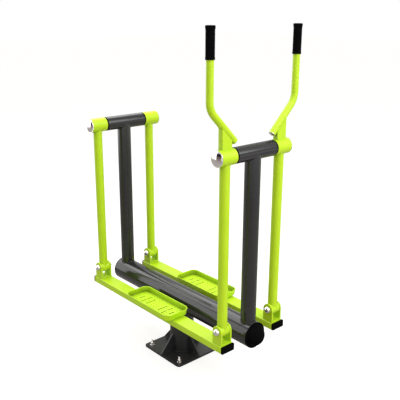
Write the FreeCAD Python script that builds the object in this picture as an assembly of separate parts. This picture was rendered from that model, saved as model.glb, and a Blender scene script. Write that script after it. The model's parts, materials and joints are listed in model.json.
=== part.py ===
import FreeCAD, Part
import os
from math import cos, degrees, radians, sin, sqrt, tan

from FreeCAD import Vector

# Outdoor air walker, in millimetres.
# X runs across the machine, Y along it with the handlebars at -Y, and Z is up.
# The origin is on the ground, under the middle of the column.
# Left and right are the user's, who faces the handlebars: left is +X, right is -X.

# Driving dimensions of the swing
PIVOT_Y = 509.0
UPPER_PIVOT_Z = 1227.5
ARM_X = 177.0
BAR_TOP_Z = 320.0
LOWER_PIVOT_Z = BAR_TOP_Z + 64.0

# Base
PLATE_SIDE = 305.0
PLATE_THICKNESS = 10.0
PLATE_CORNER_RADIUS = 18.0
ANCHOR_SPACING = 240.0
ANCHOR_HOLE_D = 14.0
GUSSET_THICKNESS = 8.0
GUSSET_HEIGHT = 102.0
GUSSET_OUTER_HEIGHT = 3.0
GUSSET_EDGE_MARGIN = 1.0

# Frame tubes
MAIN_OD = 133.0
MAIN_WALL = 4.0
MAIN_AXIS_Z = 312.3
MAIN_HALF_LENGTH = 554.0
POST_OD = 76.1
POST_WALL = 3.6
CROSSBAR_HALF_LENGTH = 124.0
TUBE_PLUG_FLANGE = 5.5
TUBE_PLUG_DEPTH = 18.0
TUBE_PLUG_DOME_D = 112.0
TUBE_PLUG_DOME = 44.0

# A tube that ends on one of its own diameter stops this far short of the other's axis,
# so that its wall keeps a blunt edge at the two tips of the joint
TIP_SETBACK = 8.0

# Upper pivots: hubs on sealed ball bearings, on an axle through each crossbar
HUB_OD = 76.1
HUB_BORE = 68.0
HUB_START_X = 132.0
HUB_LENGTH = 92.5
AXLE_D = 40.0
CARRIER_THICKNESS = 15.0
BEARING_WIDTH = 15.0
BEARING_RECESS = 4.0
BEARING_SPACING = 42.5
SLEEVE_OD = 47.0
SEAL_LIP_GAP = 0.3
DUST_RING_OD = 74.0
DUST_RING_GAP = 1.0
END_DISC_THICKNESS = 5.0
HUB_CAP_SHEET = 1.5
HUB_CAP_RIM = 2.5
HUB_CAP_DOME_D = 70.0
HUB_CAP_DOME = 9.0
HUB_CAP_SKIRT = 6.0

# Swing arms
ARM_OD = 48.3
ARM_WALL = 3.2
BARREL_OD = 57.0
BARREL_BORE = 32.0
BARREL_LENGTH = 49.8
BUSH_LENGTH = 51.8
PIN_D = 20.0
PIN_RUNNING_CLEARANCE = 0.05

# Handlebars, bent from round tube in the plane of the front pivots
HANDLE_OD = 33.7
HANDLE_WALL = 2.6
HANDLE_X = 271.5
HANDLE_BEND_CORNER_Z = 1442.3
HANDLE_BEND_RADIUS = 90.0
HANDLE_SLANT = radians(45.0)
HANDLE_TOP_Z = 1782.5
HANDLE_FOOT_X = 123.0
HANDLE_PLUG_FLANGE = 1.5
HANDLE_PLUG_DEPTH = 14.0
HANDLE_PLUG_DOME_D = 29.0
HANDLE_PLUG_DOME = 3.0
GRIP_LENGTH = 136.0
GRIP_OD = 40.0
GRIP_TOP_BEAD_D = 43.0
GRIP_FOOT_BEAD_D = 41.6
GRIP_BEAD_HEIGHT = 12.0
GRIP_BEAD_SLOPE = 5.0
GRIP_END_THICKNESS = 4.0
GRIP_EDGE = 2.0
STUB_WIDTH = 60.0
STUB_DEPTH = 28.0
STUB_WALL = 3.0
STUB_CORNER_RADIUS = 3.0

# Foot bars
BAR_WIDTH = 80.0
BAR_HEIGHT = 36.0
BAR_WALL = 3.0
BAR_HALF_LENGTH = 543.5
BAR_CORNER_RADIUS = 4.0
BAR_PLUG_FLANGE = 10.0
BAR_PLUG_CHAMFER = 1.0
BAR_PLUG_DEPTH = 18.0
CLEVIS_OUTER_WIDTH = 68.0
CLEVIS_PLATE = 8.0
CLEVIS_LENGTH = 60.0
PIN_CAP_D = 36.0
PIN_CAP_EDGE = 8.0
PIN_CAP_HEIGHT = 18.0

# Pedal trays
TRAY_TOP_WIDTH = 154.0
TRAY_TOP_LENGTH = 374.0
TRAY_TOP_RADIUS = 36.0
TRAY_BOTTOM_WIDTH = 141.0
TRAY_BOTTOM_LENGTH = 362.0
TRAY_BOTTOM_RADIUS = 30.0
TRAY_HEIGHT = 32.0
TRAY_WALL = 4.0
TRAY_FLOOR = 5.0
TRAY_RIM_CHAMFER = 1.2
SLOT_WIDTH = 7.0
SLOT_LONG = 66.0
SLOT_SHORT = 34.0
SLOT_PAIR_SPACING = 46.0
SLOT_FIRST_Y = 50.0
SLOT_PITCH = 38.0

# Directions and sides
ORIGIN = Vector(0, 0, 0)
X_AXIS = Vector(1, 0, 0)
Y_AXIS = Vector(0, 1, 0)
Z_AXIS = Vector(0, 0, 1)
SIDES = {"left": 1, "right": -1}
ENDS = {"front": -1, "rear": 1}

# Places worked out from the dimensions above
HUB_END_X = HUB_START_X + HUB_LENGTH
INNER_BEARING_X = HUB_START_X + BEARING_RECESS
OUTER_BEARING_X = INNER_BEARING_X + BEARING_WIDTH + BEARING_SPACING
AXLE_END_X = OUTER_BEARING_X + BEARING_WIDTH
BAR_AXIS = Vector(ARM_X, 0, BAR_TOP_Z - BAR_HEIGHT / 2)
UPPER_PIVOT = Vector(ARM_X, -PIVOT_Y, UPPER_PIVOT_Z)
LOWER_PIVOT = Vector(ARM_X, -PIVOT_Y, LOWER_PIVOT_Z)
MAIN_FRONT = Vector(0, -MAIN_HALF_LENGTH, MAIN_AXIS_Z)
MAIN_REAR = Vector(0, MAIN_HALF_LENGTH, MAIN_AXIS_Z)
HANDLE_SLANT_DIRECTION = Vector(-cos(HANDLE_SLANT), 0, -sin(HANDLE_SLANT))
HANDLE_SLANT_LENGTH = (HANDLE_X - HANDLE_FOOT_X) / cos(HANDLE_SLANT)
HANDLE_CORNER = Vector(HANDLE_X, -PIVOT_Y, HANDLE_BEND_CORNER_Z)
HANDLE_FOOT = HANDLE_CORNER + HANDLE_SLANT_DIRECTION * HANDLE_SLANT_LENGTH


# Shared shapes

def rod(diameter, start, end):
    """Round bar between two points."""
    along = end - start
    return Part.makeCylinder(diameter / 2, along.Length, start, along)


def tube(outer_d, wall, start, end):
    """Round tube between two points."""
    return rod(outer_d, start, end).cut(rod(outer_d - 2 * wall, start, end))


def cross_rod(diameter, start_x, end_x, pivot):
    """Round bar parallel to X on a pivot's axis."""
    return rod(diameter, Vector(start_x, pivot.y, pivot.z), Vector(end_x, pivot.y, pivot.z))


def cross_ring(outer_d, inner_d, start_x, end_x, pivot):
    """Round ring parallel to X on a pivot's axis."""
    return cross_rod(outer_d, start_x, end_x, pivot).cut(cross_rod(inner_d, start_x, end_x, pivot))


def rounded_rectangle(width, length, radius, z=0.0):
    """Level outline with round corners, centred on the Z axis."""
    edges = []
    last_point = Vector(width / 2, -length / 2 + radius, z)
    for sign_x, sign_y, start_angle in ((1, 1, 0), (-1, 1, 90), (-1, -1, 180), (1, -1, 270)):
        centre = Vector(sign_x * (width / 2 - radius), sign_y * (length / 2 - radius), z)
        points = []
        for angle in (start_angle, start_angle + 45, start_angle + 90):
            reach = Vector(cos(radians(angle)), sin(radians(angle)), 0)
            points.append(centre + reach * radius)
        edges.append(Part.makeLine(last_point, points[0]))
        edges.append(Part.Arc(*points).toShape())
        last_point = points[-1]
    return Part.Wire(edges)


def bar_along_y(outline, start_y, end_y, axis):
    """Bar of a level outline's section, stood up and run along Y."""
    section = outline.copy()
    section.rotate(ORIGIN, X_AXIS, 90)
    section.translate(Vector(axis.x, start_y, axis.z))
    return Part.Face(section).extrude(Y_AXIS * (end_y - start_y))


def box_along_y(width, height, start_y, end_y, axis):
    """Square-edged bar along Y."""
    corner = Vector(axis.x - width / 2, start_y, axis.z - height / 2)
    return Part.makeBox(width, end_y - start_y, height, corner)


def profile(points):
    """Straight edges through (along, radius) points, drawn in the plane of X and Z."""
    return Part.makePolygon([Vector(along, 0, radius) for along, radius in points]).Edges


def dome(edge_x, edge_radius, crown_x):
    """Arc of a round dome, from its edge to its crown on the axis."""
    rise = crown_x - edge_x
    sphere_radius = (edge_radius ** 2 + rise ** 2) / (2 * rise)
    middle_radius = edge_radius / 2
    middle_x = crown_x - sphere_radius + sqrt(sphere_radius ** 2 - middle_radius ** 2)
    edge_point = Vector(edge_x, 0, edge_radius)
    middle_point = Vector(middle_x, 0, middle_radius)
    return Part.Arc(edge_point, middle_point, Vector(crown_x, 0, 0)).toShape()


def turned(edges, pivot):
    """Solid turned about a pivot's axis from a closed outline."""
    outline = Part.Wire(edges)
    outline.translate(Vector(0, pivot.y, pivot.z))
    return Part.Face(outline).revolve(pivot, X_AXIS, 360)


def domed_plug(tube_od, wall, depth, flange, dome_d, rise):
    """Plug for a tube that ends at the origin and opens towards +X: spigot, flange and dome."""
    spigot_r = tube_od / 2 - wall
    crown = flange + rise
    inside = ((crown, 0), (-depth, 0), (-depth, spigot_r), (0, spigot_r))
    edges = profile(inside + ((0, tube_od / 2), (flange, tube_od / 2), (flange, dome_d / 2)))
    edges.append(dome(flange, dome_d / 2, crown))
    return turned(edges, ORIGIN)


def placed(shape, side, end):
    """A piece drawn at the left front, brought to its own corner of the machine."""
    if side < 0:
        shape = shape.mirror(ORIGIN, X_AXIS)
    if end > 0:
        shape = shape.mirror(ORIGIN, Y_AXIS)
    return shape


def at_both_ends(shape):
    """Two like pieces, one at each end, as separate solids."""
    return Part.makeCompound([placed(shape, 1, end) for end in ENDS.values()])


def at_four_corners(shape):
    """Four like pieces, one at each corner, as separate solids."""
    corners = [placed(shape, side, end) for side in SIDES.values() for end in ENDS.values()]
    return Part.makeCompound(corners)


# Base and frame

def base_plate():
    """Square foot plate with round corners and four anchor holes."""
    outline = rounded_rectangle(PLATE_SIDE, PLATE_SIDE, PLATE_CORNER_RADIUS)
    plate = Part.Face(outline).extrude(Z_AXIS * PLATE_THICKNESS)
    for sign_x in SIDES.values():
        for sign_y in ENDS.values():
            foot = Vector(sign_x * ANCHOR_SPACING / 2, sign_y * ANCHOR_SPACING / 2, 0)
            plate = plate.cut(rod(ANCHOR_HOLE_D, foot, foot + Z_AXIS * PLATE_THICKNESS))
    return plate


def column():
    """Upright tube on the plate, its top cut to fit under the main tube."""
    foot = Vector(0, 0, PLATE_THICKNESS)
    top = Vector(0, 0, MAIN_AXIS_Z - TIP_SETBACK)
    return tube(MAIN_OD, MAIN_WALL, foot, top).cut(rod(MAIN_OD, MAIN_FRONT, MAIN_REAR))


def base_gussets():
    """Four triangular plates that brace the column, one towards each side of the plate."""
    outer = PLATE_SIDE / 2 - GUSSET_EDGE_MARGIN
    points = (
        (0, 0),
        (outer, 0),
        (outer, GUSSET_OUTER_HEIGHT),
        (MAIN_OD / 2, GUSSET_HEIGHT),
        (0, GUSSET_HEIGHT),
        (0, 0),
    )
    outline = Part.Wire(profile(points))
    outline.translate(Vector(0, -GUSSET_THICKNESS / 2, PLATE_THICKNESS))
    blank = Part.Face(outline).extrude(Y_AXIS * GUSSET_THICKNESS)
    foot = Vector(0, 0, PLATE_THICKNESS)
    gusset = blank.cut(rod(MAIN_OD, foot, foot + Z_AXIS * GUSSET_HEIGHT))
    gussets = []
    for angle in (0, 90, 180, 270):
        gussets.append(gusset.copy().rotate(ORIGIN, Z_AXIS, angle))
    return Part.makeCompound(gussets)


def main_tube():
    """Long horizontal tube that carries the two posts."""
    return tube(MAIN_OD, MAIN_WALL, MAIN_FRONT, MAIN_REAR)


def main_tube_caps():
    """Plastic plugs in both ends of the main tube, each with a flange and a high dome."""
    spigot = (MAIN_OD, MAIN_WALL, TUBE_PLUG_DEPTH)
    plug = domed_plug(*spigot, TUBE_PLUG_FLANGE, TUBE_PLUG_DOME_D, TUBE_PLUG_DOME)
    plug.rotate(ORIGIN, Z_AXIS, -90)
    plug.translate(MAIN_FRONT)
    return at_both_ends(plug)


def front_crossbar_space():
    """The space that the front crossbar takes up."""
    return cross_rod(POST_OD, -CROSSBAR_HALF_LENGTH, CROSSBAR_HALF_LENGTH, UPPER_PIVOT)


def post():
    """Front post, its ends cut to fit the main tube and the crossbar."""
    foot = Vector(0, -PIVOT_Y, MAIN_AXIS_Z)
    top = Vector(0, -PIVOT_Y, UPPER_PIVOT_Z - TIP_SETBACK)
    blank = tube(POST_OD, POST_WALL, foot, top)
    return blank.cut(rod(MAIN_OD, MAIN_FRONT, MAIN_REAR)).cut(front_crossbar_space())


def crossbar():
    """Short tube across the top of the front post."""
    inner_d = POST_OD - 2 * POST_WALL
    return cross_ring(POST_OD, inner_d, -CROSSBAR_HALF_LENGTH, CROSSBAR_HALF_LENGTH, UPPER_PIVOT)


# Upper pivots

def axle():
    """Steel axle right through the front crossbar and both hubs."""
    return cross_rod(AXLE_D, -AXLE_END_X, AXLE_END_X, UPPER_PIVOT)


def axle_carriers():
    """Discs welded into the ends of both crossbars, which hold the axles."""
    bore_d = POST_OD - 2 * POST_WALL
    start_x = CROSSBAR_HALF_LENGTH - CARRIER_THICKNESS
    return at_four_corners(cross_ring(bore_d, AXLE_D, start_x, CROSSBAR_HALF_LENGTH, UPPER_PIVOT))


def bearing_sleeves():
    """Sleeves on the axles: each a hub's two inner bearing rings with the spacers beside them."""
    return at_four_corners(cross_ring(SLEEVE_OD, AXLE_D, CROSSBAR_HALF_LENGTH, AXLE_END_X, UPPER_PIVOT))


def dust_rings():
    """Plastic rings that close the gaps between the crossbars and the hubs."""
    end_x = HUB_START_X - DUST_RING_GAP
    return at_four_corners(cross_ring(DUST_RING_OD, SLEEVE_OD, CROSSBAR_HALF_LENGTH, end_x, UPPER_PIVOT))


def axle_end_discs():
    """Discs on the ends of the axles, which keep the sleeves on."""
    end_x = AXLE_END_X + END_DISC_THICKNESS
    return at_four_corners(cross_rod(SLEEVE_OD, AXLE_END_X, end_x, UPPER_PIVOT))


def hub_space():
    """The space that a front hub takes up."""
    return cross_rod(HUB_OD, HUB_START_X, HUB_END_X, UPPER_PIVOT)


def hub():
    """Short tube that turns on the bearings and carries the swing arm."""
    return cross_ring(HUB_OD, HUB_BORE, HUB_START_X, HUB_END_X, UPPER_PIVOT)


def hub_bearings():
    """Outer rings of a hub's two bearings, each with its pair of seals."""
    inner_d = SLEEVE_OD + 2 * SEAL_LIP_GAP
    rings = []
    for start_x in (INNER_BEARING_X, OUTER_BEARING_X):
        rings.append(cross_ring(HUB_BORE, inner_d, start_x, start_x + BEARING_WIDTH, UPPER_PIVOT))
    return Part.makeCompound(rings)


def hub_cap():
    """Pressed steel cover in the outer end of a hub: skirt, rim and dome."""
    skirt_r = HUB_BORE / 2
    hollow_r = skirt_r - HUB_CAP_SHEET
    rim_r = HUB_OD / 2
    dome_r = HUB_CAP_DOME_D / 2
    skirt_x = HUB_END_X - HUB_CAP_SKIRT
    face_x = HUB_END_X + HUB_CAP_RIM
    crown_x = face_x + HUB_CAP_DOME
    inside = ((face_x - HUB_CAP_SHEET, 0), (face_x - HUB_CAP_SHEET, hollow_r), (skirt_x, hollow_r))
    outside = ((skirt_x, skirt_r), (HUB_END_X, skirt_r), (HUB_END_X, rim_r), (face_x, rim_r))
    edges = profile(((crown_x, 0),) + inside + outside + ((face_x, dome_r),))
    edges.append(dome(face_x, dome_r, crown_x))
    return turned(edges, UPPER_PIVOT)


# Swing arms

def lower_barrel():
    """Thick-walled tube across the foot of an arm."""
    start_x = ARM_X - BARREL_LENGTH / 2
    return cross_ring(BARREL_OD, BARREL_BORE, start_x, start_x + BARREL_LENGTH, LOWER_PIVOT)


def bush():
    """Bearing sleeve pressed in a barrel, a little longer than it, which runs on the pin."""
    bore_d = PIN_D + 2 * PIN_RUNNING_CLEARANCE
    start_x = ARM_X - BUSH_LENGTH / 2
    return cross_ring(BARREL_BORE, bore_d, start_x, start_x + BUSH_LENGTH, LOWER_PIVOT)


def arm():
    """Straight tube, its ends cut to fit the hub and the lower barrel."""
    barrel_space = cross_rod(BARREL_OD, ARM_X - BARREL_LENGTH, ARM_X + BARREL_LENGTH, LOWER_PIVOT)
    return tube(ARM_OD, ARM_WALL, LOWER_PIVOT, UPPER_PIVOT).cut(hub_space()).cut(barrel_space)


# Handlebars

def handle_sweep(diameter):
    """Round bar along the bent line of the handlebar."""
    tangent_length = HANDLE_BEND_RADIUS * tan(HANDLE_SLANT / 2)
    bend_top = HANDLE_CORNER + Z_AXIS * tangent_length
    bend_foot = HANDLE_CORNER + HANDLE_SLANT_DIRECTION * tangent_length
    bend_centre = bend_top - X_AXIS * HANDLE_BEND_RADIUS
    to_corner = HANDLE_CORNER - bend_centre
    bend_middle = bend_centre + to_corner * (HANDLE_BEND_RADIUS / to_corner.Length)
    path = Part.Wire([
        Part.makeLine(HANDLE_FOOT, bend_foot),
        Part.Arc(bend_foot, bend_middle, bend_top).toShape(),
        Part.makeLine(bend_top, Vector(HANDLE_X, -PIVOT_Y, HANDLE_TOP_Z)),
    ])
    section = Part.Wire(Part.makeCircle(diameter / 2, HANDLE_FOOT, HANDLE_SLANT_DIRECTION))
    return path.makePipeShell([section], True, False)


def handlebar():
    """Bent tube, upright under the grip and slanted inwards down to its foot."""
    return handle_sweep(HANDLE_OD).cut(handle_sweep(HANDLE_OD - 2 * HANDLE_WALL))


def handle_plug():
    """Steel plug in the open foot of a handlebar, with a thin flange and a low dome."""
    spigot = (HANDLE_OD, HANDLE_WALL, HANDLE_PLUG_DEPTH)
    plug = domed_plug(*spigot, HANDLE_PLUG_FLANGE, HANDLE_PLUG_DOME_D, HANDLE_PLUG_DOME)
    plug.rotate(ORIGIN, Y_AXIS, 180 - degrees(HANDLE_SLANT))
    plug.translate(HANDLE_FOOT)
    return plug


def grip():
    """Rubber sleeve over the top of a handlebar, closed on top and beaded at both ends."""
    end_z = HANDLE_TOP_Z + GRIP_END_THICKNESS
    foot_z = end_z - GRIP_LENGTH
    top_bead_z = end_z - GRIP_BEAD_HEIGHT
    foot_bead_z = foot_z + GRIP_BEAD_HEIGHT
    points = (
        (0, HANDLE_TOP_Z),
        (HANDLE_OD / 2, HANDLE_TOP_Z),
        (HANDLE_OD / 2, foot_z),
        (GRIP_FOOT_BEAD_D / 2, foot_z),
        (GRIP_FOOT_BEAD_D / 2, foot_bead_z - GRIP_BEAD_SLOPE),
        (GRIP_OD / 2, foot_bead_z),
        (GRIP_OD / 2, top_bead_z - GRIP_BEAD_SLOPE),
        (GRIP_TOP_BEAD_D / 2, top_bead_z),
        (GRIP_TOP_BEAD_D / 2, end_z - GRIP_EDGE),
        (GRIP_TOP_BEAD_D / 2 - GRIP_EDGE, end_z),
        (0, end_z),
        (0, HANDLE_TOP_Z),
    )
    outline = Part.Wire(profile(points))
    outline.translate(Vector(HANDLE_X, -PIVOT_Y, 0))
    return Part.Face(outline).revolve(HANDLE_CORNER, Z_AXIS, 360)


def handle_stub():
    """Box tube on a front hub, cut at its foot to fit the hub and on top to fit the handlebar."""
    outline = rounded_rectangle(STUB_WIDTH, STUB_DEPTH, STUB_CORNER_RADIUS)
    outline.translate(UPPER_PIVOT)
    length = HANDLE_BEND_CORNER_Z - UPPER_PIVOT_Z
    blank = Part.Face(outline).extrude(Z_AXIS * length)
    inner_width = STUB_WIDTH - 2 * STUB_WALL
    inner_depth = STUB_DEPTH - 2 * STUB_WALL
    inner_corner = UPPER_PIVOT - Vector(inner_width / 2, inner_depth / 2, 0)
    blank = blank.cut(Part.makeBox(inner_width, inner_depth, length, inner_corner))
    slant_end = HANDLE_CORNER + HANDLE_SLANT_DIRECTION * 2 * length
    above_slant = Part.makePolygon([HANDLE_CORNER, slant_end, slant_end + Z_AXIS * 3 * length, HANDLE_CORNER])
    above_slant.translate(Y_AXIS * -STUB_DEPTH)
    waste = Part.Face(above_slant).extrude(Y_AXIS * 2 * STUB_DEPTH)
    return blank.cut(waste).cut(rod(HANDLE_OD, HANDLE_CORNER, slant_end)).cut(hub_space())


# Foot bars

def foot_bar():
    """Box tube that stays level between the two lower pivots."""
    outline = rounded_rectangle(BAR_WIDTH, BAR_HEIGHT, BAR_CORNER_RADIUS)
    blank = bar_along_y(outline, -BAR_HALF_LENGTH, BAR_HALF_LENGTH, BAR_AXIS)
    inner_width = BAR_WIDTH - 2 * BAR_WALL
    inner_height = BAR_HEIGHT - 2 * BAR_WALL
    return blank.cut(box_along_y(inner_width, inner_height, -BAR_HALF_LENGTH, BAR_HALF_LENGTH, BAR_AXIS))


def bar_plugs():
    """Plastic plugs in both ends of a foot bar."""
    outline = rounded_rectangle(BAR_WIDTH, BAR_HEIGHT, BAR_CORNER_RADIUS)
    end_y = -BAR_HALF_LENGTH
    face_y = end_y - BAR_PLUG_FLANGE
    flange = bar_along_y(outline, face_y, end_y, BAR_AXIS)
    flange = flange.makeChamfer(BAR_PLUG_CHAMFER, [edge for edge in flange.Edges if edge.BoundBox.YMax < face_y + 0.01])
    inner_width = BAR_WIDTH - 2 * BAR_WALL
    inner_height = BAR_HEIGHT - 2 * BAR_WALL
    spigot = box_along_y(inner_width, inner_height, end_y, end_y + BAR_PLUG_DEPTH, BAR_AXIS)
    return at_both_ends(flange.fuse(spigot).removeSplitter())


def clevis():
    """Welded fork with round-topped ears, which straddles the lower barrel."""
    ear_radius = CLEVIS_LENGTH / 2
    height = LOWER_PIVOT_Z - BAR_TOP_Z
    half_width = CLEVIS_OUTER_WIDTH / 2
    start_x = ARM_X - half_width
    end_x = ARM_X + half_width
    foot_corner = LOWER_PIVOT - Vector(half_width, ear_radius, height)
    block = Part.makeBox(CLEVIS_OUTER_WIDTH, CLEVIS_LENGTH, height, foot_corner)
    block = block.fuse(cross_rod(CLEVIS_LENGTH, start_x, end_x, LOWER_PIVOT)).removeSplitter()
    gap_width = CLEVIS_OUTER_WIDTH - 2 * CLEVIS_PLATE
    gap_corner = LOWER_PIVOT - Vector(gap_width / 2, CLEVIS_LENGTH, height - CLEVIS_PLATE)
    gap = Part.makeBox(gap_width, 2 * CLEVIS_LENGTH, height + CLEVIS_LENGTH, gap_corner)
    return block.cut(gap).cut(cross_rod(PIN_D, start_x, end_x, LOWER_PIVOT))


def pivot_pin():
    """Pin through the ears of a clevis and the bush between them."""
    half_width = CLEVIS_OUTER_WIDTH / 2
    return cross_rod(PIN_D, ARM_X - half_width, ARM_X + half_width, LOWER_PIVOT)


def pin_caps():
    """Domed steel caps over the pins of one foot bar, one on each face of each clevis."""
    base_x = ARM_X + CLEVIS_OUTER_WIDTH / 2
    edge_x = base_x + PIN_CAP_EDGE
    crown_x = base_x + PIN_CAP_HEIGHT
    radius = PIN_CAP_D / 2
    edges = profile(((crown_x, 0), (base_x, 0), (base_x, radius), (edge_x, radius)))
    edges.append(dome(edge_x, radius, crown_x))
    outer = turned(edges, LOWER_PIVOT)
    inner = outer.mirror(Vector(ARM_X, 0, 0), X_AXIS)
    return Part.makeCompound([placed(cap, 1, end) for cap in (outer, inner) for end in ENDS.values()])


# Pedal trays

def tray_block(inset, bottom_z):
    """Flared block with round corners: the tray's outside, drawn in by an inset."""
    lower = rounded_rectangle(
        TRAY_BOTTOM_WIDTH - 2 * inset, TRAY_BOTTOM_LENGTH - 2 * inset, TRAY_BOTTOM_RADIUS - inset, bottom_z
    )
    upper = rounded_rectangle(
        TRAY_TOP_WIDTH - 2 * inset, TRAY_TOP_LENGTH - 2 * inset, TRAY_TOP_RADIUS - inset, TRAY_HEIGHT
    )
    return Part.makeLoft([lower, upper], True, True)


def slot(length, x, y):
    """The space of one slot across the tray, right through its floor."""
    corner = Vector(x - length / 2, y - SLOT_WIDTH / 2, 0)
    return Part.makeBox(length, SLOT_WIDTH, TRAY_FLOOR, corner)


def slots():
    """Slots towards each end of the tray: a long one, a pair and a short one."""
    spaces = []
    for end in ENDS.values():
        pair_y = end * (SLOT_FIRST_Y + SLOT_PITCH)
        last_y = end * (SLOT_FIRST_Y + 2 * SLOT_PITCH)
        spaces.append(slot(SLOT_LONG, 0, end * SLOT_FIRST_Y))
        for sign in SIDES.values():
            spaces.append(slot(SLOT_SHORT, sign * SLOT_PAIR_SPACING / 2, pair_y))
        spaces.append(slot(SLOT_SHORT, 0, last_y))
    return spaces


def tray():
    """Pedal tray with flared walls, a softened rim and slots through its floor."""
    shell = tray_block(0, 0).cut(tray_block(TRAY_WALL, TRAY_FLOOR))
    rim = [edge for edge in shell.Edges if edge.BoundBox.ZMin > TRAY_HEIGHT - TRAY_RIM_CHAMFER]
    shell = shell.makeChamfer(TRAY_RIM_CHAMFER, rim)
    shell = shell.cut(Part.makeCompound(slots()))
    shell.translate(Vector(ARM_X, 0, BAR_TOP_Z))
    return shell


# Output

def frame_nodes():
    """Pieces that stand still."""
    nodes = {
        "base_plate": base_plate(),
        "column": column(),
        "base_gussets": base_gussets(),
        "main_tube": main_tube(),
        "main_tube_caps": main_tube_caps(),
        "axle_carriers": axle_carriers(),
        "bearing_sleeves": bearing_sleeves(),
        "dust_rings": dust_rings(),
        "axle_end_discs": axle_end_discs(),
    }
    for end_name, end in ENDS.items():
        nodes[end_name + "_post"] = placed(post(), 1, end)
        nodes[end_name + "_crossbar"] = placed(crossbar(), 1, end)
        nodes[end_name + "_axle"] = placed(axle(), 1, end)
    return nodes


def arm_nodes():
    """Pieces of the four swing arms, with a handlebar on each of the front two."""
    every_arm = {
        "hub": hub(),
        "hub_bearings": hub_bearings(),
        "hub_cap": hub_cap(),
        "arm": arm(),
        "lower_barrel": lower_barrel(),
        "bush": bush(),
    }
    front_arm = {
        "handle_stub": handle_stub(),
        "handlebar": handlebar(),
        "handle_plug": handle_plug(),
        "grip": grip(),
    }
    nodes = {}
    for side_name, side in SIDES.items():
        for end_name, end in ENDS.items():
            for name, shape in every_arm.items():
                nodes[f"{side_name}_{end_name}_{name}"] = placed(shape, side, end)
        for name, shape in front_arm.items():
            nodes[f"{side_name}_{name}"] = placed(shape, side, ENDS["front"])
    return nodes


def foot_bar_nodes():
    """Pieces of the two foot bars that the user stands on."""
    every_bar = {
        "foot_bar": foot_bar(),
        "bar_plugs": bar_plugs(),
        "clevises": at_both_ends(clevis()),
        "pivot_pins": at_both_ends(pivot_pin()),
        "pin_caps": pin_caps(),
        "tray": tray(),
    }
    nodes = {}
    for side_name, side in SIDES.items():
        for name, shape in every_bar.items():
            nodes[f"{side_name}_{name}"] = placed(shape, side, ENDS["front"])
    return nodes


os.makedirs("parts", exist_ok=True)
for nodes in (frame_nodes(), arm_nodes(), foot_bar_nodes()):
    for node, shape in nodes.items():
        shape.exportStep(f"parts/{node}.step")
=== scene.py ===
import json
import math

import bpy
from mathutils import Matrix, Vector


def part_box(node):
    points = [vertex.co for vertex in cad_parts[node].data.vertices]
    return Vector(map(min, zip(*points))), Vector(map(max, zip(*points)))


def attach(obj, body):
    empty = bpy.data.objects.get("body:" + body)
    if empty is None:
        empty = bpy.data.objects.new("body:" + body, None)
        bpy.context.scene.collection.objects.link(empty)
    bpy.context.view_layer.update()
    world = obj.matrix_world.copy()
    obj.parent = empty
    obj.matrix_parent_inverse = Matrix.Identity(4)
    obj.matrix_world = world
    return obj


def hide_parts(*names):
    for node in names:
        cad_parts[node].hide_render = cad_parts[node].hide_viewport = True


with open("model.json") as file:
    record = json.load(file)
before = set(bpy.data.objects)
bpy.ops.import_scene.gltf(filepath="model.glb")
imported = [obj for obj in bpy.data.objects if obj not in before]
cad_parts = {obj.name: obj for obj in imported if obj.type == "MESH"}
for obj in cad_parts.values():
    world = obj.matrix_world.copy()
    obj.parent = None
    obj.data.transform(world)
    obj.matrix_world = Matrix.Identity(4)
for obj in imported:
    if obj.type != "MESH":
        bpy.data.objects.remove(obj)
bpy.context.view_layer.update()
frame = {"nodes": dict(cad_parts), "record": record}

nodes = frame["nodes"]

# Where things are, in metres, as in the solids
SIDES = {"left": 1, "right": -1}
ENDS = {"front": -1, "rear": 1}
ARM_X = 0.177
PIVOT_Y = 0.509
UPPER_Z = 1.2275
LOWER_Z = 0.384
PLATE_TOP = 0.010
PLATE_HALF = 0.1525
ANCHOR_AT = 0.120
COLUMN_R = 0.0665
GUSSET_HALF = 0.004
GUSSET_TOP = 0.112
MAIN_R = 0.0665
MAIN_Z = 0.3123
POST_R = 0.03805
TIP_SETBACK = 0.008
ARM_R = 0.02415
BARREL_R = 0.0285
STUB_HALF = (0.030, 0.014)
STUB_CORNER_R = 0.003
HANDLE_R = 0.01685
HANDLE_X = 0.2715
HANDLE_CORNER_Z = 1.4423
BAR_TOP = 0.320
CLEVIS_HALF = (0.034, 0.030)
TRAY_HALF_LENGTH = 0.181
TRAY_FLOOR_TOP = 0.325

# Slots of the tray floors: distance from the tray's middle, half length, and offsets across the tray
SLOT_ROWS = (
    (0.050, 0.033, (0.0,)),
    (0.088, 0.017, (-0.023, 0.023)),
    (0.126, 0.017, (0.0,)),
)

FULL_TURN = 2 * math.pi
# The radius at the tip of a turned piece
NEARLY_ZERO_R = 0.0001
# A direction that no weld bead starts along
OFF_EVERY_PATH = Vector((0.31, 0.17, 0.93))


# Material helpers

def material(name):
    mat = bpy.data.materials.new(name)
    mat.use_nodes = True
    tree = mat.node_tree
    tree.nodes.clear()
    out = tree.nodes.new("ShaderNodeOutputMaterial")
    shader = tree.nodes.new("ShaderNodeBsdfPrincipled")
    tree.links.new(shader.outputs["BSDF"], out.inputs["Surface"])
    return mat, tree, shader


def noise(tree, scale, detail=3.0, roughness=0.5, stretch=(1, 1, 1)):
    coords = tree.nodes.new("ShaderNodeTexCoord")
    mapping = tree.nodes.new("ShaderNodeMapping")
    mapping.inputs["Scale"].default_value = stretch
    node = tree.nodes.new("ShaderNodeTexNoise")
    node.inputs["Scale"].default_value = scale
    node.inputs["Detail"].default_value = detail
    node.inputs["Roughness"].default_value = roughness
    tree.links.new(coords.outputs["Object"], mapping.inputs["Vector"])
    tree.links.new(mapping.outputs["Vector"], node.inputs["Vector"])
    return node.outputs["Fac"]


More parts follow.
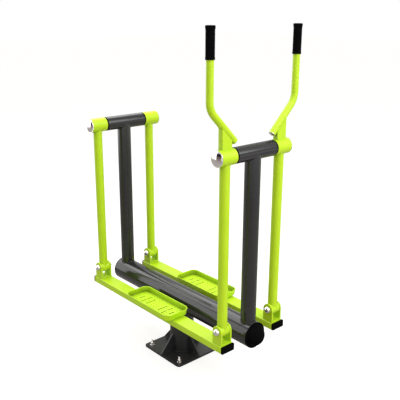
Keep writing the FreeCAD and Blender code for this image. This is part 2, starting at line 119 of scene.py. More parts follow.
def ramp(tree, source, low, high, start=0.3, end=0.7):
    node = tree.nodes.new("ShaderNodeValToRGB")
    first, last = node.color_ramp.elements
    first.position, first.color = start, (*low, 1)
    last.position, last.color = end, (*high, 1)
    tree.links.new(source, node.inputs["Fac"])
    return node.outputs["Color"]


def spread(tree, source, low, high, start=0.0, end=1.0):
    """The source's values from start to end, spread over low to high."""
    node = tree.nodes.new("ShaderNodeMapRange")
    node.inputs["From Min"].default_value = start
    node.inputs["From Max"].default_value = end
    node.inputs["To Min"].default_value = low
    node.inputs["To Max"].default_value = high
    tree.links.new(source, node.inputs["Value"])
    return node.outputs["Result"]


def combined(tree, operation, first, second):
    """Two values put together by a math node. The second may be a plain number."""
    node = tree.nodes.new("ShaderNodeMath")
    node.operation = operation
    tree.links.new(first, node.inputs[0])
    if isinstance(second, float):
        node.inputs[1].default_value = second
    else:
        tree.links.new(second, node.inputs[1])
    return node.outputs[0]


def blend_color(tree, share, base, other):
    """Base colour that gives way to a fixed one. The node's colours are inputs 6 and 7 and output 2."""
    node = tree.nodes.new("ShaderNodeMix")
    node.data_type = "RGBA"
    tree.links.new(share, node.inputs[0])
    tree.links.new(base, node.inputs[6])
    node.inputs[7].default_value = (*other, 1)
    return node.outputs[2]


def bump(tree, source, strength, distance, before):
    node = tree.nodes.new("ShaderNodeBump")
    node.inputs["Strength"].default_value = strength
    node.inputs["Distance"].default_value = distance
    tree.links.new(source, node.inputs["Height"])
    tree.links.new(before, node.inputs["Normal"])
    return node.outputs["Normal"]


def soft_edge(tree, radius):
    """Normals rounded over at sharp edges, and a mask that is 1 on those edges."""
    bevel = tree.nodes.new("ShaderNodeBevel")
    bevel.samples = 6
    bevel.inputs["Radius"].default_value = radius
    geometry = tree.nodes.new("ShaderNodeNewGeometry")
    dot = tree.nodes.new("ShaderNodeVectorMath")
    dot.operation = "DOT_PRODUCT"
    tree.links.new(bevel.outputs["Normal"], dot.inputs[0])
    tree.links.new(geometry.outputs["Normal"], dot.inputs[1])
    return bevel.outputs["Normal"], spread(tree, dot.outputs["Value"], 1.0, 0.0, start=0.88, end=0.995)


def crevice_shade(tree, reach, deepest, open_from, own_only):
    """Mask that is 1 where surfaces stand close around, within reach: all, or only the piece's own. It marks
    where painted shade is laid: corners, gaps between parts and sides under overhangs.
    """
    node = tree.nodes.new("ShaderNodeAmbientOcclusion")
    node.samples = 8
    node.only_local = own_only
    node.inputs["Distance"].default_value = reach
    return spread(tree, node.outputs["AO"], 1.0, 0.0, start=deepest, end=open_from)


def powder_coat(name, low, high, edge_highlight, painted_shade, roughness, gloss, reach=0.04, deepest=0.25, own_only=False):
    """Cloudy paint with orange peel and fine grain, with a painted highlight in patches along its edges and
    painted shade in corners, between parts and under overhangs.
    """
    mat, tree, shader = material(name)
    normal, on_edge = soft_edge(tree, radius=0.0014)
    tone = ramp(tree, noise(tree, scale=6.0, detail=4.0, roughness=0.6), low, high)
    patches = spread(tree, noise(tree, scale=38.0), 0.15, 0.75, start=0.35, end=0.65)
    # Painted highlight: the edge colour is laid in patches along sharp edges, where edges would catch the
    # light.
    unshaded_tone = blend_color(tree, combined(tree, "MULTIPLY", on_edge, patches), tone, edge_highlight)
    # Painted shade: the colour goes dark towards the coat's shade colour in corners, between parts and under
    # overhangs.
    in_corner = crevice_shade(tree, reach, deepest, open_from=0.92, own_only=own_only)
    tree.links.new(blend_color(tree, in_corner, unshaded_tone, painted_shade), shader.inputs["Base Color"])
    peel = noise(tree, scale=230.0, detail=2.0)
    tree.links.new(spread(tree, peel, *roughness), shader.inputs["Roughness"])
    normal = bump(tree, peel, strength=0.10, distance=0.0003, before=normal)
    grain = noise(tree, scale=1100.0, detail=2.0)
    normal = bump(tree, grain, strength=0.06, distance=0.0001, before=normal)
    tree.links.new(normal, shader.inputs["Normal"])
    shader.inputs["Specular IOR Level"].default_value = gloss
    return mat


def moulded(name, low, high, roughness, scale, strength, gloss):
    """Moulded plastic or rubber with a fine sandy grain, a little paler along its edges."""
    mat, tree, shader = material(name)
    normal, on_edge = soft_edge(tree, radius=0.001)
    tone = ramp(tree, noise(tree, scale=30.0), low, high)
    paler_edge_tone = tuple(2 * channel for channel in high)
    edge_paled_tone = blend_color(tree, spread(tree, on_edge, 0.0, 0.3), tone, paler_edge_tone)
    tree.links.new(edge_paled_tone, shader.inputs["Base Color"])
    grain = noise(tree, scale, detail=2.0)
    tree.links.new(spread(tree, grain, *roughness), shader.inputs["Roughness"])
    tree.links.new(bump(tree, grain, strength, distance=0.0003, before=normal), shader.inputs["Normal"])
    shader.inputs["Specular IOR Level"].default_value = gloss
    return mat


def steel(name, low, high, roughness, stretch, strength=0.05):
    """Bare or plated steel with turning or drawing marks."""
    mat, tree, shader = material(name)
    normal = soft_edge(tree, radius=0.0006)[0]
    marks = noise(tree, scale=55.0, detail=4.0, roughness=0.6, stretch=stretch)
    tree.links.new(ramp(tree, marks, low, high), shader.inputs["Base Color"])
    tree.links.new(spread(tree, marks, *roughness), shader.inputs["Roughness"])
    shader.inputs["Metallic"].default_value = 1.0
    tree.links.new(bump(tree, marks, strength, distance=0.0002, before=normal), shader.inputs["Normal"])
    return mat


# Materials

# The edge colours are painted highlights along sharp edges, paler than each paint.
FRESH_GREEN = {"low": (0.52, 0.775, 0.015), "high": (0.575, 0.83, 0.019), "edge_highlight": (0.72, 0.95, 0.10)}
GRAPHITE_EDGE_HIGHLIGHT = (0.07, 0.07, 0.07)
GREEN_SATIN = (0.27, 0.38)
NEAR_BLACK = {"low": (0.0015, 0.0015, 0.0015), "high": (0.0030, 0.0030, 0.0030)}

# Each coat's shade colour is painted shade, laid in where surfaces close round.
GREEN = powder_coat(
    "green_coat", **FRESH_GREEN, painted_shade=(0.20, 0.33, 0.004), roughness=GREEN_SATIN, gloss=0.30, reach=0.05)
# Painted light: the trays' green is made paler than the same paint elsewhere, so their outer walls read lit,
# and their own inner walls and floor edges get a deep painted shade.
LIGHTENED_TRAY_GREEN = powder_coat(
    "green_coat_tray_lightened", low=(0.58, 0.90, 0.013), high=(0.63, 0.96, 0.017), edge_highlight=(0.78, 1.00, 0.12),
    painted_shade=(0.035, 0.060, 0.001), roughness=GREEN_SATIN, gloss=0.25, reach=0.09, deepest=0.38, own_only=True)
GRAPHITE = powder_coat(
    "graphite_coat", low=(0.0150, 0.0145, 0.0150), high=(0.0195, 0.0190, 0.0195), edge_highlight=GRAPHITE_EDGE_HIGHLIGHT,
    painted_shade=(0.004, 0.004, 0.004), roughness=(0.12, 0.20), gloss=0.56)
# The clevises' green, with a paler painted shade in its corners and gaps.
CLEVIS_GREEN = powder_coat(
    "green_coat_clevis", **FRESH_GREEN, painted_shade=(0.42, 0.64, 0.009), roughness=GREEN_SATIN, gloss=0.30)
DUSTY_GRAPHITE = powder_coat(
    "dusty_graphite_coat", low=(0.0185, 0.0180, 0.0190), high=(0.0260, 0.0250, 0.0265), edge_highlight=GRAPHITE_EDGE_HIGHLIGHT,
    painted_shade=(0.0125, 0.0120, 0.0130), roughness=(0.30, 0.42), gloss=0.5)
PLASTIC = moulded(
    "black_plastic_grain", **NEAR_BLACK, roughness=(0.75, 0.95), scale=700.0, strength=0.25, gloss=0.04)
RUBBER = moulded(
    "grip_rubber_grain", **NEAR_BLACK, roughness=(0.80, 1.00), scale=450.0, strength=0.35, gloss=0.04)
POLISHED = steel(
    "polished_steel", low=(0.70, 0.66, 0.64), high=(0.82, 0.79, 0.77), roughness=(0.05, 0.13),
    stretch=(1, 1, 1), strength=0.03)
MACHINED = steel(
    "machined_steel", low=(0.38, 0.38, 0.39), high=(0.58, 0.58, 0.59), roughness=(0.22, 0.38),
    stretch=(14, 1, 1))
ZINC = steel(
    "zinc_plate", low=(0.78, 0.72, 0.70), high=(0.96, 0.92, 0.90), roughness=(0.14, 0.28), stretch=(1, 1, 5))
BUSH = moulded(
    "bush_plastic", low=(0.40, 0.38, 0.32), high=(0.48, 0.45, 0.39), roughness=(0.35, 0.50),
    scale=400.0, strength=0.15, gloss=0.4)

BY_SLOT = {
    "green_paint": GREEN,
    "graphite_paint": GRAPHITE,
    "black_plastic": PLASTIC,
    "grip_rubber": RUBBER,
    "polished_steel": POLISHED,
    "machined_steel": MACHINED,
    "bush_plastic": BUSH,
}
OTHER_COATS = {
    "base_plate": DUSTY_GRAPHITE,
    "base_gussets": DUSTY_GRAPHITE,
    "column": DUSTY_GRAPHITE,
    "left_clevises": CLEVIS_GREEN,
    "right_clevises": CLEVIS_GREEN,
    "left_tray": LIGHTENED_TRAY_GREEN,
    "right_tray": LIGHTENED_TRAY_GREEN,
}


def coat_nodes():
    for part in frame["record"]["subparts"]:
        name = part["node"]
        mesh = nodes[name].data
        mesh.materials.clear()
        mesh.materials.append(OTHER_COATS.get(name, BY_SLOT[part["material_slot"]]))


# Mesh helpers

def piece(name, body, slot, mat, verts, faces, sharp_over=40):
    mesh = bpy.data.meshes.new(name)
    mesh.from_pydata(verts, [], faces)
    mesh.update()
    mesh.shade_smooth()
    mesh.set_sharp_from_angle(angle=math.radians(sharp_over))
    mesh.materials.append(mat)
    obj = bpy.data.objects.new(name, mesh)
    bpy.context.scene.collection.objects.link(obj)
    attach(obj, body)
    return obj


def joined(shapes):
    """One list of points and faces from several."""
    verts, faces = [], []
    for more_verts, more_faces in shapes:
        base = len(verts)
        verts.extend(more_verts)
        faces.extend([tuple(base + i for i in face) for face in more_faces])
    return verts, faces


def ring(centre, radius, height, segments):
    """Points of a level circle, at a height above centre."""
    points = []
    for i in range(segments):
        angle = FULL_TURN * i / segments
        points.append(centre + Vector((radius * math.cos(angle), radius * math.sin(angle), height)))
    return points


def grid_faces(rows, columns, close_rows=False):
    """Faces over rows of points, each row closed into a ring."""
    faces = []
    for row in range(rows if close_rows else rows - 1):
        above = (row + 1) % rows
        for i in range(columns):
            j = (i + 1) % columns
            faces.append((row * columns + i, row * columns + j, above * columns + j, above * columns + i))
    return faces


def end_faces(rows, columns):
    """One face over the first ring of a run and one over its last."""
    last = (rows - 1) * columns
    return [tuple(reversed(range(columns))), tuple(range(last, last + columns))]


def lathe(profile, centre, segments=48, open_foot=False):
    """Solid turned about the vertical through centre, from (radius, height) points, with its ends capped."""
    verts = []
    for radius, height in profile:
        verts.extend(ring(centre, radius, height, segments))
    faces = grid_faces(len(profile), segments)
    foot, top = end_faces(len(profile), segments)
    faces.extend([top] if open_foot else [foot, top])
    return verts, faces


def evenly_spaced(path, closed, step):
    """Points along a path about a step apart, the number of steps between them, and the path's length."""
    points = [Vector(p) for p in path]
    if closed:
        points.append(points[0])
    lengths = [0.0]
    for a, b in zip(points, points[1:]):
        lengths.append(lengths[-1] + (b - a).length)
    steps = max(8, int(lengths[-1] / step))
    spaced = []
    at = 0
    for k in range(steps if closed else steps + 1):
        along = lengths[-1] * k / steps
        while at < len(points) - 2 and lengths[at + 1] < along:
            at += 1
        share = (along - lengths[at]) / max(1e-9, lengths[at + 1] - lengths[at])
        spaced.append(points[at].lerp(points[at + 1], min(1.0, share)))
    return spaced, steps, lengths[-1]


def bead(path, radius, closed=True, ripple=0.16, pitch=0.0035, step=0.0009, sides=8, end_share=0.35):
    """Weld bead along a path: a thin round run whose thickness ripples from drop to drop."""
    centres, steps, length = evenly_spaced(path, closed, step)
    total = len(centres)
    drops = max(1, round(length / pitch))
    side = OFF_EVERY_PATH.normalized()
    verts = []
    for k, centre in enumerate(centres):
        if closed:
            along = centres[(k + 1) % total] - centres[k - 1]
        else:
            along = centres[min(k + 1, total - 1)] - centres[max(k - 1, 0)]
        along.normalize()
        side = (side - along * side.dot(along)).normalized()
        up = along.cross(side)
        swell = radius * (1 - ripple * (0.5 + 0.5 * math.cos(FULL_TURN * drops * k / steps)))
        if not closed and k in (0, total - 1):
            swell *= end_share
        for i in range(sides):
            angle = FULL_TURN * i / sides
            verts.append(centre + side * swell * math.cos(angle) + up * swell * math.sin(angle))
    faces = grid_faces(total, sides)
    faces.extend(seam_faces(verts, total, sides) if closed else end_faces(total, sides))
    return verts, faces


def seam_faces(verts, rows, columns):
    """Faces that close a run of rings on itself, each point joined to the nearest one of the first ring."""
    last = (rows - 1) * columns
    shift = min(range(columns), key=lambda s: (verts[last] - verts[s]).length)
    faces = []
    for i in range(columns):
        j = (i + 1) % columns
        faces.append((last + i, last + j, (j + shift) % columns, (i + shift) % columns))
    return faces


def tube_path(x, y, radius, count, height_at):
    """Closed path around an upright tube, its height given by a function of the offsets from its axis."""
    path = []
    for i in range(count):
        angle = FULL_TURN * i / count
        offset_x = radius * math.cos(angle)
        offset_y = radius * math.sin(angle)
        path.append((x + offset_x, y + offset_y, height_at(offset_x, offset_y)))
    return path


def rectangle_path(centre, half, corner, height_at, per_edge=14):
    """Closed path around a level rectangle with round corners, its height given in the same way."""
    flat = []
    for sign_x, sign_y, start in ((1, 1, 0), (-1, 1, 90), (-1, -1, 180), (1, -1, 270)):
        middle = Vector((sign_x * (half[0] - corner), sign_y * (half[1] - corner)))
        for step in range(4):
            angle = math.radians(start + 30 * step)
            flat.append(middle + corner * Vector((math.cos(angle), math.sin(angle))))
    path = []
    for a, b in zip(flat, flat[1:] + flat[:1]):
        parts = per_edge if (b - a).length > 2 * corner else 1
        for step in range(parts):
            offset = a.lerp(b, step / parts)
            path.append((centre.x + offset.x, centre.y + offset.y, height_at(offset.x, offset.y)))
    return path


# Weld beads, by the radius of the run

BASE_BEAD = 0.0026
MAIN_BEAD = 0.0028
HEAD_BEAD = 0.0022
BARREL_BEAD = 0.0015
STUB_TOP_BEAD = 0.0020
CLEVIS_BEAD = 0.0017
CLEVIS_BEAD_CORNER = 0.0006
TRAY_END_BEAD = 0.0020
TRAY_END_BEAD_HALF = 0.036
STITCH_BEAD = 0.0022
STITCH_X = 0.0385
STITCH_SINK = 0.0006
STITCH_STARTS = (-0.160, -0.075, 0.035, 0.120)
STITCH_LENGTH = 0.040
GUSSET_BEAD_MARGIN = 0.004
WELD_SHARP_OVER = 80


def half_chord(radius, offset):
    """Half the chord of a circle at an offset from its middle: also how far a round tube rises there."""
    return math.sqrt(radius ** 2 - offset ** 2)


# Heights of the seams, at offsets from the middle of the tube or rectangle that they go round

def plate_top(offset_x, offset_y):
    return PLATE_TOP


def bar_top(offset_x, offset_y):
    return BAR_TOP


def column_head(offset_x, offset_y):
    return MAIN_Z - max(abs(offset_y), TIP_SETBACK)


def post_foot(offset_x, offset_y):
    return MAIN_Z + half_chord(MAIN_R, offset_x)


def post_head(offset_x, offset_y):
    return UPPER_Z - max(abs(offset_x), TIP_SETBACK)


def arm_head(offset_x, offset_y):
    return UPPER_Z - half_chord(POST_R, offset_y)


def arm_foot(offset_x, offset_y):
    return LOWER_Z + half_chord(BARREL_R, offset_y)


def stub_foot(offset_x, offset_y):
    return UPPER_Z + half_chord(POST_R, offset_y)


def base_welds():
    runs = [bead(tube_path(0, 0, COLUMN_R, 96, plate_top), BASE_BEAD)]
    gusset_root = half_chord(COLUMN_R, GUSSET_HALF)
    for quarter in range(4):
        spin = Matrix.Rotation(math.radians(90 * quarter), 3, "Z")
        for sign in (1, -1):
            foot = Vector((gusset_root, sign * GUSSET_HALF, PLATE_TOP))
            outer = Vector((PLATE_HALF - GUSSET_BEAD_MARGIN, sign * GUSSET_HALF, PLATE_TOP))
            top = Vector((gusset_root, sign * GUSSET_HALF, GUSSET_TOP))
            runs.append(bead([spin @ foot, spin @ outer], BASE_BEAD, closed=False))
            runs.append(bead([spin @ foot, spin @ top], BASE_BEAD, closed=False))
    piece("base_welds", "stand", "graphite_paint", DUSTY_GRAPHITE, *joined(runs), WELD_SHARP_OVER)


def frame_welds():
    runs = [bead(tube_path(0, 0, COLUMN_R, 120, column_head), MAIN_BEAD)]
    for end in ENDS.values():
        y = end * PIVOT_Y
        runs.append(bead(tube_path(0, y, POST_R, 80, post_foot), MAIN_BEAD))
        runs.append(bead(tube_path(0, y, POST_R, 80, post_head), HEAD_BEAD))
    piece("frame_welds", "stand", "graphite_paint", GRAPHITE, *joined(runs), WELD_SHARP_OVER)


def arm_welds(side, end, body):
    x = SIDES[side] * ARM_X
    y = ENDS[end] * PIVOT_Y

    def stub_head(offset_x, offset_y):
        """Underside of the handlebar, which slants outwards at 45 degrees."""
        axis_z = HANDLE_CORNER_Z - (HANDLE_X - abs(x + offset_x))
        return axis_z - half_chord(HANDLE_R, offset_y) * math.sqrt(2)

    runs = [
        bead(tube_path(x, y, ARM_R, 64, arm_head), HEAD_BEAD),
        bead(tube_path(x, y, ARM_R, 64, arm_foot), BARREL_BEAD),
    ]
    if end == "front":
        centre = Vector((x, y))
        runs.append(bead(rectangle_path(centre, STUB_HALF, STUB_CORNER_R, stub_foot), HEAD_BEAD))
        runs.append(bead(rectangle_path(centre, STUB_HALF, STUB_CORNER_R, stub_head), STUB_TOP_BEAD))
    piece(f"{side}_{end}_arm_welds", body, "green_paint", GREEN, *joined(runs), WELD_SHARP_OVER)


def step_welds(side):
    """Beads around the clevises and the tray's ends, and stitches along the tray where it sits on the bar."""
    x = SIDES[side] * ARM_X
    runs = []
    for end in ENDS.values():
        centre = Vector((x, end * PIVOT_Y))
        runs.append(bead(rectangle_path(centre, CLEVIS_HALF, CLEVIS_BEAD_CORNER, bar_top), CLEVIS_BEAD))
        y = end * TRAY_HALF_LENGTH
        tray_end = [(x - TRAY_END_BEAD_HALF, y, BAR_TOP), (x + TRAY_END_BEAD_HALF, y, BAR_TOP)]
        runs.append(bead(tray_end, TRAY_END_BEAD, closed=False))
    for sign in (1, -1):
        for start in STITCH_STARTS:
            edge_x = x + sign * STITCH_X
            z = BAR_TOP - STITCH_SINK
            stitch = [(edge_x, start, z), (edge_x, start + STITCH_LENGTH, z)]
            runs.append(bead(stitch, STITCH_BEAD, closed=False))
    piece(f"{side}_step_welds", f"{side}_step", "green_paint", GREEN, *joined(runs), WELD_SHARP_OVER)


# Anchors at the plate's corners

WASHER_OUTER_R = 0.0125
WASHER_BORE_R = 0.0062
WASHER_HEIGHT = 0.0025
WASHER_EDGE = 0.0004
NUT_ACROSS = 0.019
NUT_HEIGHT = 0.0108
NUT_BORE_R = 0.0058
NUT_CHAMFER = 0.0012
STUD_R = 0.006
STUD_HEIGHT = 0.0395
STUD_FOOT_Z = 0.0005
THREAD_PITCH = 0.00175
THREAD_DEPTH = 0.00085
THREAD_ROWS_PER_TURN = 5
STUD_TIP_SLOPE = 0.9

# Signs of X and Y of each anchor, and how far its nut is turned, in degrees
ANCHORS = {
    "left_front": (1, -1, 11),
    "right_front": (-1, -1, 27),
    "left_rear": (1, 1, 43),
    "right_rear": (-1, 1, 3),
}


def hexagon_nut(centre, segments=48):
    """Hexagon nut whose corners are cut off towards both faces."""
    flat_r = NUT_ACROSS / 2
    face_r = flat_r * 1.005
    corner_r = flat_r * 1.11
    outline = (
        (0.0, face_r),
        (NUT_CHAMFER, corner_r),
        (NUT_HEIGHT - NUT_CHAMFER, corner_r),
        (NUT_HEIGHT, face_r),
    )
    verts = []
    for z, largest in outline:
        for i in range(segments):
            angle = FULL_TURN * i / segments
            within = (angle + math.pi / 6) % (math.pi / 3) - math.pi / 6
            radius = min(flat_r / math.cos(within), largest)
            verts.append(centre + Vector((radius * math.cos(angle), radius * math.sin(angle), z)))
    for z in (NUT_HEIGHT, 0.0):
        verts.extend(ring(centre, NUT_BORE_R, z, segments))
    return verts, grid_faces(len(outline) + 2, segments, True)


def stud(centre, segments=24):
    """Threaded stud with a chamfered top: its radius follows a helix."""
    rows = int(STUD_HEIGHT / THREAD_PITCH * THREAD_ROWS_PER_TURN)
    root_r = STUD_R - THREAD_DEPTH
    verts = []
    for row in range(rows + 1):
        z = STUD_HEIGHT * row / rows
        for i in range(segments):
            angle = FULL_TURN * i / segments
            phase = (z / THREAD_PITCH - angle / FULL_TURN) % 1.0
            crest = 1 - abs(2 * phase - 1)
            radius = STUD_R - THREAD_DEPTH * (1 - crest)
            radius = min(radius, root_r + max(0.0, STUD_HEIGHT - z) * STUD_TIP_SLOPE)
            verts.append(centre + Vector((radius * math.cos(angle), radius * math.sin(angle), z)))
    faces = grid_faces(rows + 1, segments)
    faces.extend(end_faces(rows + 1, segments))
    return verts, faces


def washer(centre, segments=48):
    profile = (
        (WASHER_BORE_R, 0),
        (WASHER_OUTER_R - WASHER_EDGE, 0),
        (WASHER_OUTER_R, WASHER_EDGE),
        (WASHER_OUTER_R, WASHER_HEIGHT - WASHER_EDGE),
        (WASHER_OUTER_R - WASHER_EDGE, WASHER_HEIGHT),
        (WASHER_BORE_R, WASHER_HEIGHT),
    )
    verts = []
    for radius, z in profile:
        verts.extend(ring(centre, radius, z, segments))
    return verts, grid_faces(len(profile), segments, True)


def anchors():
    nut_verts, nut_faces = hexagon_nut(Vector((0, 0, WASHER_HEIGHT)))
    for corner, (sign_x, sign_y, turn) in ANCHORS.items():
        foot = Vector((sign_x * ANCHOR_AT, sign_y * ANCHOR_AT, PLATE_TOP))
        spin = Matrix.Rotation(math.radians(turn), 3, "Z")
        turned = [spin @ v + foot for v in nut_verts]
        under = foot - Vector((0, 0, PLATE_TOP - STUD_FOOT_Z))
        piece(f"anchor_washer_{corner}", "stand", "machined_steel", ZINC, *washer(foot))
        piece(f"anchor_nut_{corner}", "stand", "machined_steel", ZINC, turned, nut_faces, sharp_over=25)
        piece(f"anchor_stud_{corner}", "stand", "machined_steel", ZINC, *stud(under), sharp_over=80)


# Grips

GRIP_R = 0.0200
GRIP_BORE_CLEARANCE = 0.0001
GRIP_END_THICKNESS = 0.004
GRIP_SEGMENTS = 56
GRIP_FLAT_R = 0.0120
GRIP_ROUND_R = 0.0035
GRIP_ROUND_AT = 0.0180
GRIP_ROUND_STEPS = 6
GROOVE_R = 0.01965
GROOVE_PITCH = 0.0046
FIRST_GROOVE = 0.0160
LAST_GROOVE_BELOW_TOP = 0.0230

# The bead at the foot and a groove, as radius and height, and the bead at the top, as radius and depth
FOOT_BEAD = (
    (0.0204, 0.0),
    (0.0207, 0.0003),
    (0.0208, 0.0009),
    (0.0208, 0.0070),
    (0.0206, 0.0090),
    (GRIP_R, 0.0120),
)
GROOVE = ((GRIP_R, 0.0), (GROOVE_R, 0.0006), (GROOVE_R, 0.0012), (GRIP_R, 0.0018))
TOP_BEAD = ((GRIP_R, 0.0170), (0.0206, 0.0145), (0.0213, 0.0120), (0.0215, 0.0095))


def grip_profile(bore, height):
    """Outline from the bore's foot over a bead, the grooves and a wider bead to the middle of the top."""
    profile = [(bore, 0.0), *FOOT_BEAD]
    at = FIRST_GROOVE
    while at < height - LAST_GROOVE_BELOW_TOP:
        profile += [(radius, at + rise) for radius, rise in GROOVE]
        at += GROOVE_PITCH
    profile += [(radius, height - depth) for radius, depth in TOP_BEAD]
    for step in range(GRIP_ROUND_STEPS + 1):
        angle = math.radians(90 / GRIP_ROUND_STEPS * step)
        across = GRIP_ROUND_AT + GRIP_ROUND_R * math.cos(angle)
        profile.append((across, height - GRIP_ROUND_R + GRIP_ROUND_R * math.sin(angle)))
    profile += [(GRIP_FLAT_R, height), (NEARLY_ZERO_R, height)]
    return profile


def grips():
    """Ribbed grips, hollow from below for the handlebars."""
    for side, sign in SIDES.items():
        low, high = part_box(f"{side}_grip")
        foot = Vector((sign * HANDLE_X, -PIVOT_Y, low.z))
        height = high.z - low.z
        bore = HANDLE_R + GRIP_BORE_CLEARANCE
        profile = grip_profile(bore, height)
        verts, faces = lathe(profile, foot, GRIP_SEGMENTS, open_foot=True)
        inner = len(verts)
        verts.extend(ring(foot, bore, height - GRIP_END_THICKNESS, GRIP_SEGMENTS))
        for i in range(GRIP_SEGMENTS):
            j = (i + 1) % GRIP_SEGMENTS
            faces.append((inner + i, inner + j, j, i))
        faces.append(tuple(range(inner, inner + GRIP_SEGMENTS)))
        name = f"{side}_ribbed_grip"
        grip = piece(name, f"{side}_handle_arm", "grip_rubber", RUBBER, verts, faces, sharp_over=50)
        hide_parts(f"{side}_grip")


# Covers of the lower pivots' pins

DOME_EDGE = 0.0008
DOME_STEPS = 15


def pin_domes():
    """Domes as wide and as high as the solids' covers, round from the clevis on."""
    for side, sign in SIDES.items():
        low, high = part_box(f"{side}_pin_caps")
        radius = (high.z - low.z) / 2
        height = (high.x - low.x) / 2 - CLEVIS_HALF[0]
        profile = [(radius, 0.0), (radius, DOME_EDGE)]
        for step in range(1, DOME_STEPS + 1):
            angle = math.radians(90 / DOME_STEPS * step)
            across = max(NEARLY_ZERO_R, radius * math.cos(angle))
            profile.append((across, DOME_EDGE + (height - DOME_EDGE) * math.sin(angle)))
        dome_verts, dome_faces = lathe(profile, Vector((0, 0, 0)))
        shapes = []
        for face in (1, -1):
            lean = Matrix.Rotation(math.radians(90 * face), 3, "Y")
            for end in ENDS.values():
                foot = Vector((sign * ARM_X + face * CLEVIS_HALF[0], end * PIVOT_Y, LOWER_Z))
                shapes.append(([lean @ v + foot for v in dome_verts], dome_faces))
        name = f"{side}_pin_domes"
        domes = piece(name, f"{side}_step", "polished_steel", POLISHED, *joined(shapes), sharp_over=60)
        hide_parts(f"{side}_pin_caps")


# Raised dots on the floors of the trays

DOT_PROFILE = ((0.0030, 0.0), (0.0029, 0.0022), (0.0023, 0.0029), (0.0010, 0.0031))
DOT_PITCH_X = 0.0180
DOT_PITCH_Y = 0.0215
DOT_COLUMNS = 3
DOT_ROWS = 7
DOT_SINK = 0.0001
CLEAR_OF_SLOT_Y = 0.0075
CLEAR_OF_SLOT_END = 0.005


def on_slot(x, y):
    """Whether a dot at x, y of a tray would touch a slot."""
    for distance, reach, offsets in SLOT_ROWS:
        beside = abs(abs(y) - distance) < CLEAR_OF_SLOT_Y
        if beside and any(abs(x - offset) < reach + CLEAR_OF_SLOT_END for offset in offsets):
            return True
    return False


def tray_dots():
    """Dots in rows and columns, left out on the slots and in the tray's round corners."""
    places = []
    for row in range(-DOT_ROWS, DOT_ROWS + 1):
        for column in range(-DOT_COLUMNS, DOT_COLUMNS + 1):
            in_corner = abs(row) == DOT_ROWS and abs(column) == DOT_COLUMNS
            x = column * DOT_PITCH_X
            y = row * DOT_PITCH_Y
            if not in_corner and not on_slot(x, y):
                places.append((x, y))
    for side, sign in SIDES.items():
        feet = [Vector((sign * ARM_X + x, y, TRAY_FLOOR_TOP - DOT_SINK)) for x, y in places]
        shapes = [lathe(DOT_PROFILE, foot, 12) for foot in feet]
        piece(f"{side}_tray_dots", f"{side}_step", "green_paint", GREEN, *joined(shapes), sharp_over=60)


# Stage: floor, panels that only reflections see, lamps and camera

MIDDLE = Vector((0.0, 0.0, 0.9))
SKY = 0.70
FLOOR_GREY = (0.385, 0.365, 0.355)
FLOOR_GLOW = 0.74
FLOOR_HALF = 30.0
FLOOR_Z = -0.0004
FAR_FLOOR = (3.5, 6.0)
WHITE = (0.8, 0.8, 0.8)
CAMERA_PLACE = Vector((-2.0400, -2.4355, 1.8625))
CAMERA_AIM = Vector((-0.0052, -0.1533, 0.9151))
CAMERA_ROLL = 0.29
CAMERA_LENS = 56.57
CAMERA_SENSOR = 36.0


def ray_share(tree, *kinds):
    """1 for the rays of the given kinds, and 0 for the others."""
    rays = tree.nodes.new("ShaderNodeLightPath")
    seen = rays.outputs[kinds[0]]
    for kind in kinds[1:]:
        seen = combined(tree, "MAXIMUM", seen, rays.outputs[kind])
    return seen


def stage_plane(name, mat, half_width, half_height, place):
    corners = [
        (-half_width, -half_height, 0),
        (half_width, -half_height, 0),
        (half_width, half_height, 0),
        (-half_width, half_height, 0),
    ]
    mesh = bpy.data.meshes.new(name)
    mesh.from_pydata(corners, [], [(0, 1, 2, 3)])
    mesh.materials.append(mat)
    obj = bpy.data.objects.new(name, mesh)
    obj.matrix_world = place
    bpy.context.scene.collection.objects.link(obj)
    return obj


def floor():
    """Grey floor that lights the object softly. The camera sees it white, and so do reflections far out."""
    mat, tree, shader = material("floor_plain")
    shader.inputs["Base Color"].default_value = (*FLOOR_GREY, 1)
    shader.inputs["Roughness"].default_value = 0.95
    shader.inputs["Specular IOR Level"].default_value = 0.0
    coords = tree.nodes.new("ShaderNodeTexCoord")
    distance = tree.nodes.new("ShaderNodeVectorMath")
    distance.operation = "LENGTH"
    tree.links.new(coords.outputs["Object"], distance.inputs[0])
    far = spread(tree, distance.outputs["Value"], 0.0, FLOOR_GLOW, *FAR_FLOOR)
    reflected = combined(tree, "MULTIPLY", ray_share(tree, "Is Glossy Ray"), far)
    seen = combined(tree, "MULTIPLY", ray_share(tree, "Is Camera Ray", "Is Transmission Ray"), FLOOR_GLOW)
    shader.inputs["Emission Color"].default_value = (1, 1, 1, 1)
    tree.links.new(combined(tree, "ADD", reflected, seen), shader.inputs["Emission Strength"])
    stage_plane("floor", mat, FLOOR_HALF, FLOOR_HALF, Matrix.Translation((0, 0, FLOOR_Z)))


def towards(azimuth, elevation, distance):
    """Point seen from the middle of the object at an azimuth from +X and an elevation, in degrees."""
    level = distance * math.cos(math.radians(elevation))
    return Vector((
        level * math.cos(math.radians(azimuth)),
        level * math.sin(math.radians(azimuth)),
        MIDDLE.z + distance * math.sin(math.radians(elevation)),
    ))


def facing_middle(place):
    turn = (MIDDLE - place).to_track_quat("-Z", "Y")
    return Matrix.Translation(place) @ turn.to_matrix().to_4x4()


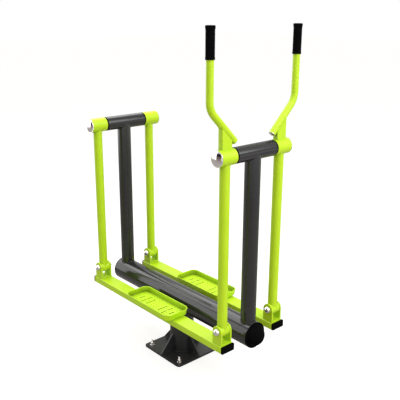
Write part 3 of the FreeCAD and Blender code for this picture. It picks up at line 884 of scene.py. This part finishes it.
def mirrored_panel(name, foot, head, glow, place, half_width, half_height):
    """Panel beside the object that only shiny surfaces see, shaded from its foot to its head."""
    mat, tree, shader = material(name + "_cloth")
    coords = tree.nodes.new("ShaderNodeTexCoord")
    split = tree.nodes.new("ShaderNodeSeparateXYZ")
    tree.links.new(coords.outputs["Object"], split.inputs[0])
    level = spread(tree, split.outputs["Y"], 0.0, 1.0, -half_height, half_height)
    tree.links.new(ramp(tree, level, foot, head, 0.15, 0.75), shader.inputs["Base Color"])
    shader.inputs["Roughness"].default_value = 1.0
    shader.inputs["Specular IOR Level"].default_value = 0.0
    shader.inputs["Emission Color"].default_value = (1, 1, 1, 1)
    shader.inputs["Emission Strength"].default_value = glow
    panel = stage_plane(name, mat, half_width, half_height, facing_middle(place))
    panel.visible_camera = False
    panel.visible_diffuse = False
    panel.visible_shadow = False
    panel.visible_transmission = False


def studio_world():
    """Soft white light all round, which the camera sees as plain white."""
    world = bpy.data.worlds.new("studio")
    bpy.context.scene.world = world
    world.use_nodes = True
    tree = world.node_tree
    tree.nodes.clear()
    out = tree.nodes.new("ShaderNodeOutputWorld")
    pick = tree.nodes.new("ShaderNodeMixShader")
    light = tree.nodes.new("ShaderNodeBackground")
    seen = tree.nodes.new("ShaderNodeBackground")
    light.inputs["Color"].default_value = (1, 1, 1, 1)
    light.inputs["Strength"].default_value = SKY
    seen.inputs["Color"].default_value = (1, 1, 1, 1)
    seen.inputs["Strength"].default_value = 1.0
    tree.links.new(ray_share(tree, "Is Camera Ray", "Is Transmission Ray"), pick.inputs["Fac"])
    tree.links.new(light.outputs["Background"], pick.inputs[1])
    tree.links.new(seen.outputs["Background"], pick.inputs[2])
    tree.links.new(pick.outputs["Shader"], out.inputs["Surface"])


def softbox(name, place, size, power):
    data = bpy.data.lights.new(name, "AREA")
    data.shape = "RECTANGLE"
    data.size, data.size_y = size
    data.energy = power
    obj = bpy.data.objects.new(name, data)
    obj.matrix_world = facing_middle(place)
    bpy.context.scene.collection.objects.link(obj)


def photo_camera():
    data = bpy.data.cameras.new("camera")
    data.sensor_width = CAMERA_SENSOR
    data.lens = CAMERA_LENS
    camera = bpy.data.objects.new("camera", data)
    look = (CAMERA_AIM - CAMERA_PLACE).to_track_quat("-Z", "Y").to_matrix()
    roll = Matrix.Rotation(math.radians(CAMERA_ROLL), 3, "Z")
    camera.matrix_world = Matrix.Translation(CAMERA_PLACE) @ (look @ roll).to_4x4()
    bpy.context.scene.collection.objects.link(camera)
    bpy.context.scene.camera = camera


coat_nodes()
base_welds()
frame_welds()
for side in SIDES:
    arm_welds(side, "front", f"{side}_handle_arm")
    arm_welds(side, "rear", f"{side}_rear_swing_arm")
    step_welds(side)
anchors()
grips()
pin_domes()
tray_dots()

floor()
studio_world()
mirrored_panel(
    "black_flag", foot=(0.38, 0.31, 0.29), head=(0.012, 0.010, 0.012), glow=0.0,
    place=towards(171.0, 8.0, 3.6), half_width=1.30, half_height=1.35)
mirrored_panel(
    "white_wall", foot=WHITE, head=WHITE, glow=1.7,
    place=towards(117.0, 11.0, 5.2), half_width=3.3, half_height=2.4)
mirrored_panel(
    "white_screen", foot=WHITE, head=WHITE, glow=1.5,
    place=towards(235.0, 45.0, 4.6), half_width=3.6, half_height=1.5)
softbox("front_right", towards(290.0, 36.0, 4.0), (3.2, 2.3), 75.0)
softbox("low_front", towards(265.0, 8.0, 4.0), (2.5, 1.5), 20.0)
softbox("overhead", towards(0.0, 88.0, 4.0), (2.6, 2.6), 62.0)
softbox("rear", towards(80.0, 49.0, 4.0), (4.5, 2.6), 92.0)
photo_camera()
bpy.context.scene.view_settings.view_transform = "Standard"
